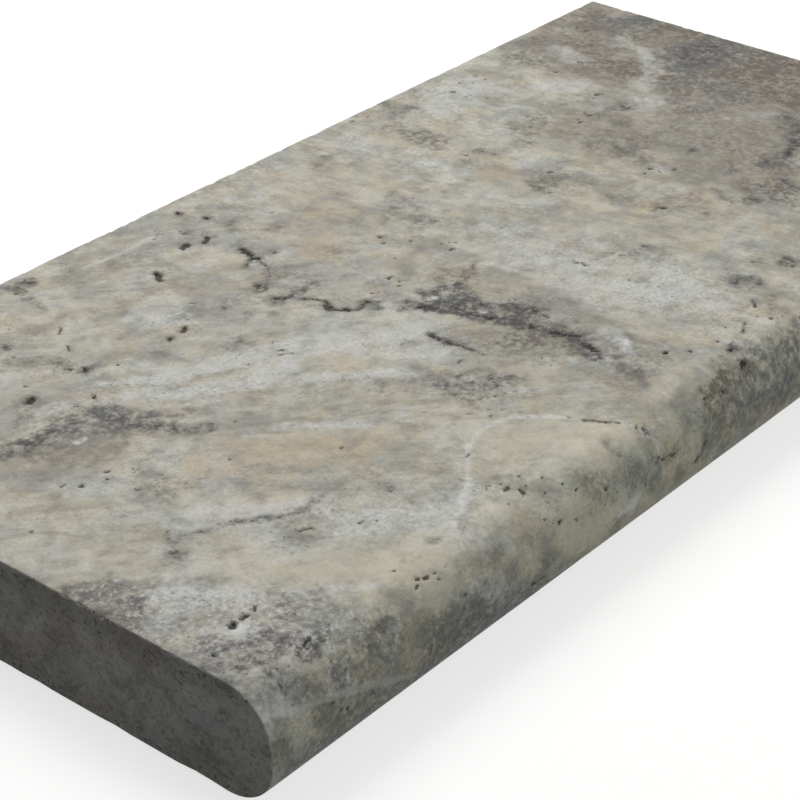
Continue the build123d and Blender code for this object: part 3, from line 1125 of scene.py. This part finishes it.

# %% Carve the pits and the cracks, and paint dirt and shade into them
REACH = 2.2  # half widths from a route that a mark or a pit can cover
RAGGED = 0.9  # how far noise pushes a pit's rim, in half widths
RIM_AT = 1.15  # half widths from the route where a pit's wall starts
STEEP = 2.0  # 1 is a cone, and more gives steeper walls with a flatter floor
pit_dirt_and_shade = np.zeros(count)
for half_width, depth, *route in placed_pits + small_pits:
    chosen = near_route(route, half_width * REACH)
    away = distance_to_route(skin[chosen], route) / half_width
    away = away + RAGGED * (0.6 * grit[chosen] + 0.5 * ripple[chosen])
    bowl = np.clip((RIM_AT - away) * STEEP, 0, 1)
    sink[chosen] = np.maximum(sink[chosen], depth * bowl)
    # each hole is painted dark, most where its bowl is deepest: dirt and painted shade
    tone = min(1.0, 0.4 + 0.45 * half_width)  # narrow holes show paler, as in the photograph
    pit_dirt_and_shade[chosen] = np.maximum(pit_dirt_and_shade[chosen], tone * bowl)
carved = np.clip(points - normals * sink[:, None], np.array(low) / MM, np.array(high) / MM)
coping_mesh.vertices.foreach_set("co", (carved * MM).ravel())
coping_mesh.update()
print("deepest pit", round(float(sink.max()), 2), "mm")

# %% Stain
FADED = 1.6  # half widths from the route where a mark ends
FADE = 1.3  # half widths over which it fades in
stains = {}


def store(name, amount):
    """Keeps an amount at every point as an attribute that the material can read."""
    layer = coping_mesh.attributes.new(name, "FLOAT", "POINT")
    layer.data.foreach_set("value", amount.astype(np.float32))
    print(name, "covers", round(float((amount > 0.3).mean() * 100), 1), "percent")


def stain(name, marks):
    """Paints the marks of one colour and stores them as an attribute from 0 to 1."""
    amount = np.zeros(count)
    for half_width, strength, *route in marks:
        chosen = near_route(route, half_width * REACH)
        away = distance_to_route(skin[chosen], route) / half_width
        away = away + 0.6 * drift[chosen] + 0.45 * ripple[chosen]
        soft = np.clip((FADED - away) / FADE, 0, 1)
        soft = soft * soft * (3 - 2 * soft)
        amount[chosen] = 1 - (1 - amount[chosen]) * (1 - strength * soft)
    stains[name] = amount
    store(name, amount)


# each crack has a brown halo and a dark shadow, a few times as wide as itself
halos = [(half_width * 3.2, 0.5, *route) for half_width, depth, *route in CRACKS]
# the shadows are painted shade, stored together with the smoke clouds
shadows = [(half_width * 1.8, 0.55, *route) for half_width, depth, *route in CRACKS]
for name, marks in (
    ("wash", WASH),
    ("silver", SILVER),
    ("cream", CREAM),
    ("ochre", OCHRE),
    ("umber", UMBER + halos),
    ("smoke_and_crack_shadows", SMOKE + shadows),
    ("slate", SLATE),
    ("flecked", FLECKED),
    ("calcite", CALCITE),
):
    stain(name, marks)

# %% Note where the stone is sawn and dirty, where a painted highlight lies on the nose's shoulder, and where the nose darkens downwards
on_end = np.abs(points[:, 0]) > END - CORNER / 2
on_back = points[:, 1] > BACK - CORNER / 2
on_underside = points[:, 2] < CORNER / 2
# further down the nose, blotches and more dark specks make the colour darker
down_nose = np.clip((FLAT_START - 12 - skin[:, 1]) / 20, 0, 1)  # 12 to 32 mm past the tread
# the strip round the shoulder of the nose is painted lighter: a painted highlight
shoulder = np.clip(1 - np.abs(skin[:, 1] - (FLAT_START - 5)) / 9, 0, 1)  # a 9 mm strip each way
dirty = 0.35 + 0.25 * drift + 0.25 * swell + 0.3 * down_nose
for name, share in (
    ("smoke_and_crack_shadows", 0.6),
    ("slate", 0.5),
    ("silver", 0.3),
    ("umber", 0.2),
    ("wash", -0.1),
    ("ochre", -0.15),
    ("cream", -0.3),
):
    dirty = dirty + share * stains[name]
# darker blotches that grow towards the bottom of the nose
darker_down_nose = down_nose * (0.5 + 1.2 * drift + 0.9 * swell) - 0.5 * stains["cream"]
store("pit", pit_dirt_and_shade)
store("sawn", (on_end | on_back | on_underside).astype(float))
store("dirty", np.clip(dirty, 0, 1))
store("darker_down_nose", np.clip(darker_down_nose, 0, 1))
# a painted highlight on the nose's shoulder, and lighter rims along the bitten corners
store("shoulder_highlight_and_light_rims", np.maximum(shoulder, 0.6 * rim))

# %% The finished piece
coping = bpy.data.objects.new("travertine_coping", coping_mesh)
scene.collection.objects.link(coping)
coping_mesh.polygons.foreach_set("use_smooth", [True] * len(coping_mesh.polygons))
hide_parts("bullnose_coping")
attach(coping, "root")
print("coping has", len(coping_mesh.polygons), "triangles")

# %% [markdown]
# The material: silver travertine, honed and brushed
#
# Honing leaves the stone matt, with a faint sheen on the dense parts and none in the pores.
# The colour is built as the stone was: a pale ground with broad mottling, clouds laid over it,
# fine beds and grain through everything, and dirt in the holes. Painted shade is laid into the
# holes, along the cracks and under the tread's edge on the sawn faces, and a painted highlight
# along the nose's shoulder. Each cloud's soft edge is broken up by noise, because mud settles in
# grains and not as a blur. An image could be wrapped round the slab instead, but it would
# stretch on the nose and blur close up.

# %% Helpers for colours and nodes
def colour(hex_code):
    """An sRGB hex colour as the linear colour that the renderer works in."""
    channels = [int(hex_code[i:i + 2], 16) / 255 for i in (0, 2, 4)]
    linear = [c / 12.92 if c <= 0.04045 else ((c + 0.055) / 1.055) ** 2.4 for c in channels]
    return (*linear, 1.0)


def add_node(tree, kind, inputs=(), take=0, **settings):
    """Adds a node with its settings, fills or links its inputs and hands back one output."""
    node = tree.nodes.new("ShaderNode" + kind)
    for name, value in settings.items():
        setattr(node, name, value)
    pairs = inputs.items() if isinstance(inputs, dict) else enumerate(inputs)
    for name, value in pairs:
        if isinstance(value, bpy.types.NodeSocket):
            tree.links.new(value, node.inputs[name])
        else:
            node.inputs[name].default_value = value
    return node.outputs[take] if node.outputs else None


# %% Ground of the stone
travertine = bpy.data.materials.new("silver_travertine_honed")
travertine.use_nodes = True
tree = travertine.node_tree
tree.nodes.clear()
place = add_node(tree, "TexCoord", take="Object")
SMOOTH = {"interpolation_type": "SMOOTHSTEP"}
COLOURS = {"data_type": "RGBA", "take": 2}


def swells(size_mm, detail, roughness, distortion=0.0, where=place):
    """What a noise is given so that its swells have a real size."""
    return {
        "Vector": where,
        "Scale": 1 / (size_mm * MM),
        "Detail": detail,
        "Roughness": roughness,
        "Distortion": distortion,
    }


def tint(under, hex_code, value, start, stop, most=1.0):
    """Lays a colour over another, more and more as a value goes from start to stop."""
    amount = add_node(tree, "MapRange", (value, start, stop, 0.0, most), **SMOOTH)
    return add_node(tree, "Mix", {0: amount, 6: under, 7: colour(hex_code)}, **COLOURS)


patches = add_node(tree, "TexNoise", swells(26, 6, 0.6, 0.5))
broad = add_node(tree, "TexNoise", swells(40, 8, 0.66, 0.2))
medium = add_node(tree, "TexNoise", swells(10, 7, 0.68))
fine = add_node(tree, "TexNoise", swells(3.0, 4, 0.7))
ground = tint(colour("9F9F97"), "B3AA96", patches, 0.4, 0.6)
ground = tint(ground, "C4C2B8", broad, 0.5, 0.64, 0.5)
ground = tint(ground, "7B776E", broad, 0.5, 0.36, 0.45)
ground = tint(ground, "C4C1B6", medium, 0.5, 0.68, 0.42)
ground = tint(ground, "746F67", medium, 0.5, 0.32, 0.42)

# %% Beds
STRETCH = 3.6  # how much longer than wide the streaks are


def bed_streaks(turn):
    """Wide and narrow streaks along beds, at a turn in degrees from the slab's length."""
    along_bed = add_node(
        tree,
        "Mapping",
        {"Vector": place, "Rotation": (0.0, 0.0, math.radians(turn)), "Scale": (STRETCH, 1.0, 1.0)},
        vector_type="TEXTURE",
    )
    wide = add_node(tree, "TexNoise", swells(13, 2, 0.5, 0.7, along_bed))
    narrow = add_node(tree, "TexNoise", swells(4, 4, 0.7, 0.6, along_bed))
    return add_node(tree, "Mix", {0: 0.5, 2: wide, 3: narrow})


# the beds run at 42 degrees across the left part and turn to 78 by the middle
along_slab = add_node(tree, "SeparateXYZ", (place,), take="X")
right_part = add_node(tree, "MapRange", (along_slab, -80 * MM, 0.0, 0.0, 1.0), **SMOOTH)
beds = add_node(tree, "Mix", {0: right_part, 2: bed_streaks(-42), 3: bed_streaks(-78)})
ground = tint(ground, "C8C5BB", beds, 0.5, 0.64, 0.5)
ground = tint(ground, "827D73", beds, 0.5, 0.36, 0.5)

# %% How mud settles
def add_up(start, *shares):
    """Adds up values, each times its share."""
    total = start
    for value, share in shares:
        total = add_node(tree, "Math", (value, share, total), operation="MULTIPLY_ADD")
    return total


mud = add_node(tree, "TexNoise", swells(6, 5, 0.74))
grain = add_node(tree, "TexNoise", swells(1.8, 4, 0.78))
soft = add_up(-0.3, (medium, 2.5))
washed = add_up(-0.65, (mud, 1.8), (medium, 1.4))
patchy = add_up(-0.85, (mud, 1.8), (fine, 1.8))
grainy = add_up(-2.15, (mud, 3.6), (grain, 2.2))

# %% Clouds over the ground
CLOUDS = (
    # attribute, colour, most, how it settles, where it starts and where it is full
    ("wash", "6F675B", 0.85, washed, 0.08, 1.3),
    ("cream", "C3BCA9", 0.75, soft, 0.08, 1.0),
    ("ochre", "B3A083", 0.65, soft, 0.08, 1.0),
    ("umber", "625A4F", 0.8, patchy, 0.08, 1.2),
    ("umber", "43392D", 0.55, patchy, 0.68, 1.2),
    ("silver", "C4C4C0", 0.8, soft, 0.08, 1.0),
    # greenish grey blotches, darker towards the bottom of the nose
    ("darker_down_nose", "5A5D55", 0.75, patchy, 0.08, 1.2),
    ("slate", "4E5254", 0.85, patchy, 0.08, 1.2),
    # the smoke layers also carry the painted shadows along the cracks
    ("smoke_and_crack_shadows", "73706A", 0.66, patchy, 0.0, 1.2),
    ("smoke_and_crack_shadows", "403D39", 0.92, grainy, 0.05, 1.15),
    ("smoke_and_crack_shadows", "211E1D", 0.85, patchy, 0.68, 1.25),
)
held = {}
for name in (*stains, "pit", "sawn", "dirty", "darker_down_nose", "shoulder_highlight_and_light_rims"):
    held[name] = add_node(tree, "Attribute", take="Fac", attribute_name=name)
skin_colour = ground
for name, hex_code, most, settling, start, stop in CLOUDS:
    settled = add_node(tree, "Math", (settling, held[name]), operation="MULTIPLY")
    skin_colour = tint(skin_colour, hex_code, settled, start, stop, most)
fleck_noise = add_node(tree, "TexNoise", swells(2.8, 4, 0.7, 0.15))
most_flecked = add_node(tree, "Math", (held["flecked"], 0.6), operation="MULTIPLY")
skin_colour = tint(skin_colour, "CBCBCC", fleck_noise, 0.5, 0.64, most_flecked)
skin_colour = tint(skin_colour, "6B6B70", fleck_noise, 0.5, 0.36, most_flecked)
print("material reads", ", ".join(held))

# %% Grain and specks
grain_by_dirt = add_node(tree, "MapRange", (held["dirty"], 0.1, 0.9, 0.5, 1.5), **SMOOTH)
grain_by_wash = add_node(tree, "MapRange", (held["wash"], 0.2, 1.0, 1.0, 0.5), **SMOOTH)
grain_share = add_node(tree, "Math", (grain_by_dirt, grain_by_wash), operation="MULTIPLY")
grain_tone = add_node(tree, "Math", (grain, 0.5), operation="SUBTRACT")
# the last share lifts the tone on the nose's shoulder, as a painted highlight, and on the corners' rims
tone = add_up(0.78, (medium, 0.42), (grain_tone, grain_share), (held["shoulder_highlight_and_light_rims"], 0.12))
skin_colour = add_node(tree, "VectorMath", {0: skin_colour, "Scale": tone}, operation="SCALE")
speck_noise = add_node(tree, "TexNoise", swells(1.7, 1, 0.5, 0.4))
most_specks = add_node(tree, "MapRange", (held["dirty"], 0.2, 0.75, 0.0, 1.0), **SMOOTH)
specks = add_node(tree, "MapRange", (speck_noise, 0.67, 0.74, 0.0, most_specks), **SMOOTH)
speck_shade = add_up(0.0, (specks, 0.75))
skin_colour = add_node(tree, "Mix", {0: speck_shade, 6: skin_colour, 7: colour("4A4642")}, **COLOURS)

# %% Veins of calcite
vein_gaps = add_node(tree, "MapRange", (fine, 0.38, 0.56, 0.2, 1.0), **SMOOTH)
vein = add_node(tree, "Math", (held["calcite"], vein_gaps), operation="MULTIPLY")
skin_colour = add_node(tree, "Mix", {0: vein, 6: skin_colour, 7: colour("D6D6D3")}, **COLOURS)

# %% Sawn faces
sawn_colour = tint(colour("A6A49D"), "BBBDC4", broad, 0.44, 0.58, 0.6)
sawn_colour = tint(sawn_colour, "C9CAC9", medium, 0.5, 0.64, 0.5)
sawn_colour = tint(sawn_colour, "605D58", medium, 0.5, 0.36, 0.5)
sawn_colour = tint(sawn_colour, "CDCDCB", fine, 0.5, 0.66, 0.4)
sawn_colour = tint(sawn_colour, "55524E", fine, 0.5, 0.34, 0.4)

# dark specks gather near the tread and the underside, and a painted shade darkens the sawn faces just
# under the tread's edge
height = add_node(tree, "SeparateXYZ", (place,), take="Z")
by_top = add_node(tree, "MapRange", (height, (TOP - 18) * MM, (TOP - 4) * MM, 0.55, 1.0), **SMOOTH)
by_foot = add_node(tree, "MapRange", (height, 14 * MM, 3 * MM, 0.0, 1.0), **SMOOTH)
by_edges = add_node(tree, "Math", (by_top, by_foot), operation="MAXIMUM")
by_mud = add_node(tree, "MapRange", (mud, 0.4, 0.56, 0.15, 1.0), **SMOOTH)
saw_place = add_node(tree, "Mapping", {"Vector": place, "Scale": (0.8, 0.8, 1.0)})
saw_noise = add_node(tree, "TexNoise", swells(2.0, 2, 0.6, 0.1, saw_place))
sawn_specks = add_node(tree, "MapRange", (saw_noise, 0.54, 0.62, 0.0, by_edges), **SMOOTH)
sawn_specks = add_node(tree, "Math", (sawn_specks, by_mud), operation="MULTIPLY")
sawn_shade = add_up(0.0, (sawn_specks, 0.95))
# painted shade: a darker band on the sawn faces just under the tread's edge
sawn_colour = tint(sawn_colour, "6A6762", by_top, 0.65, 1.0, 0.35)
sawn_colour = add_node(tree, "Mix", {0: sawn_shade, 6: sawn_colour, 7: colour("2C2A28")}, **COLOURS)
sawn_share = add_up(0.0, (held["sawn"], 0.75))
skin_colour = add_node(tree, "Mix", {0: sawn_share, 6: skin_colour, 7: sawn_colour}, **COLOURS)

# %% Dirt and painted shade in the holes, and the finish of the surface
# dirt and painted shade: a dark colour laid into the holes
skin_colour = tint(skin_colour, "46423F", held["pit"], 0.05, 0.9, 0.9)
rough_in_pits = add_node(tree, "MapRange", (held["pit"], 0.1, 0.6, 0.0, 0.95), **SMOOTH)
rough = add_up(0.5, (fine, 0.25))
for rougher in (rough_in_pits, add_up(0.0, (held["sawn"], 0.85))):
    rough = add_node(tree, "Math", (rough, rougher), operation="MAXIMUM")
pores = add_up(0.0, (grain, 0.6), (specks, -1.0))
bump = add_node(tree, "Bump", {"Height": pores, "Strength": 0.5, "Distance": 0.35 * MM})
shader = add_node(
    tree,
    "BsdfPrincipled",
    {
        "Base Color": skin_colour,
        "Roughness": rough,
        "IOR": 1.55,  # calcite lies between 1.49 and 1.66
        "Specular IOR Level": 0.35,
        "Normal": bump,
    },
)
add_node(tree, "OutputMaterial", {"Surface": shader})
coping_mesh.materials.append(travertine)
print("material has", len(tree.nodes), "nodes")

# %% [markdown]
# Floor, world and lamps
#
# A product table: the floor and the world look white to the camera but send little light back
# up, so the sides of the slab stay in shade as in a studio with dark flags. A floor that is
# simply white would light the nose from below. This one still takes the slab's shadow.

# %% Floor
FLOOR_HALF = 6.0  # metres from its middle to each side
FLOOR_GAP = 0.3 * MM  # keeps the floor clear of the sawn underside
floor_mesh = bpy.data.meshes.new("studio_floor")
floor_bm = bmesh.new()
bmesh.ops.create_grid(floor_bm, x_segments=1, y_segments=1, size=FLOOR_HALF)
bmesh.ops.translate(floor_bm, vec=(0, 0, -FLOOR_GAP), verts=floor_bm.verts)
floor_bm.to_mesh(floor_mesh)
floor_bm.free()
floor = bpy.data.objects.new("studio_floor", floor_mesh)
scene.collection.objects.link(floor)


def seen_directly(tree):
    """1 for rays from the camera, or that the camera sees in a mirror or through glass."""
    rays = add_node(tree, "LightPath").node.outputs
    seen = rays["Is Camera Ray"]
    for other in ("Is Glossy Ray", "Is Transmission Ray"):
        seen = add_node(tree, "Math", (seen, rays[other]), operation="MAXIMUM")
    return seen


floor_paint = bpy.data.materials.new("pale_studio_floor")
floor_paint.use_nodes = True
floor_tree = floor_paint.node_tree
floor_tree.nodes.clear()
bounce = add_node(floor_tree, "BsdfDiffuse", {"Color": colour("6E6E6C")})
shown = add_node(floor_tree, "BsdfDiffuse", {"Color": colour("A8A8A6")})
lift = add_node(floor_tree, "Emission", {"Color": colour("FFFFFF"), "Strength": 0.7})
shown_lit = add_node(floor_tree, "AddShader", (shown, lift))
floor_mix = add_node(floor_tree, "MixShader", (seen_directly(floor_tree), bounce, shown_lit))
add_node(floor_tree, "OutputMaterial", {"Surface": floor_mix})
floor_mesh.materials.append(floor_paint)

# %% World
world = bpy.data.worlds.new("studio")
world.use_nodes = True
scene.world = world
world_tree = world.node_tree
world_tree.nodes.clear()
dim = add_node(world_tree, "Background", {"Color": colour("FFFFFF"), "Strength": 0.2})
white = add_node(world_tree, "Background", {"Color": colour("FFFFFF"), "Strength": 1.0})
world_mix = add_node(world_tree, "MixShader", (seen_directly(world_tree), dim, white))
add_node(world_tree, "OutputWorld", {"Surface": world_mix})


# %% Lamps
def softbox(name, direction, level, size, hex_code="FFFFFF", distance=2.6):
    """A square lamp that lights a facing surface to level times its own colour."""
    lamp = bpy.data.lights.new(name, "AREA")
    lamp.color = colour(hex_code)[:3]
    lamp.shape = "SQUARE"
    lamp.size = size
    lamp.energy = level * math.pi ** 2 * distance ** 2
    holder = bpy.data.objects.new(name, lamp)
    aim = Vector(direction).normalized()
    holder.location = aim * distance
    holder.rotation_euler = aim.to_track_quat("Z", "Y").to_euler()
    scene.collection.objects.link(holder)


# the direction that each lamp shines from, its level and its width in metres
softbox("key_softbox", (0.25, 0.48, 0.86), 0.72, 1.6)
softbox("front_fill", (0.35, -0.85, 0.42), 0.28, 1.4, "F8FFF8")

# %% [markdown]
# The camera
#
# The photograph looks down at about thirty degrees, from the left of the nose. A camera set by
# eye would leave the edges some pixels off. So the outline was matched with a slab of this size,
# which gives the place and the lens below.

# %% Camera
CAMERA_PLACE = (-765.5, -596.4, 549.2)
CAMERA_YAW = 50.06  # degrees from +Y towards +X
CAMERA_DOWN = 30.62
CAMERA_ROLL = -0.14
FOCAL_PIXELS = 2351.4
PICTURE_PIXELS = 800
SENSOR_MM = 36.0

camera_data = bpy.data.cameras.new("photo_camera")
camera_data.sensor_fit = "HORIZONTAL"
camera_data.sensor_width = SENSOR_MM
camera_data.lens = FOCAL_PIXELS / PICTURE_PIXELS * SENSOR_MM
camera = bpy.data.objects.new("photo_camera", camera_data)
turn = Matrix.Rotation(math.radians(-CAMERA_YAW), 4, "Z")
tilt = Matrix.Rotation(math.radians(90 - CAMERA_DOWN), 4, "X")
roll = Matrix.Rotation(math.radians(CAMERA_ROLL), 4, "Z")
camera.matrix_world = Matrix.Translation(Vector(CAMERA_PLACE) * MM) @ turn @ tilt @ roll
scene.collection.objects.link(camera)
scene.camera = camera
scene.view_settings.view_transform = "Standard"
print("lens", round(camera_data.lens, 1), "mm")

bpy.context.view_layer.update()
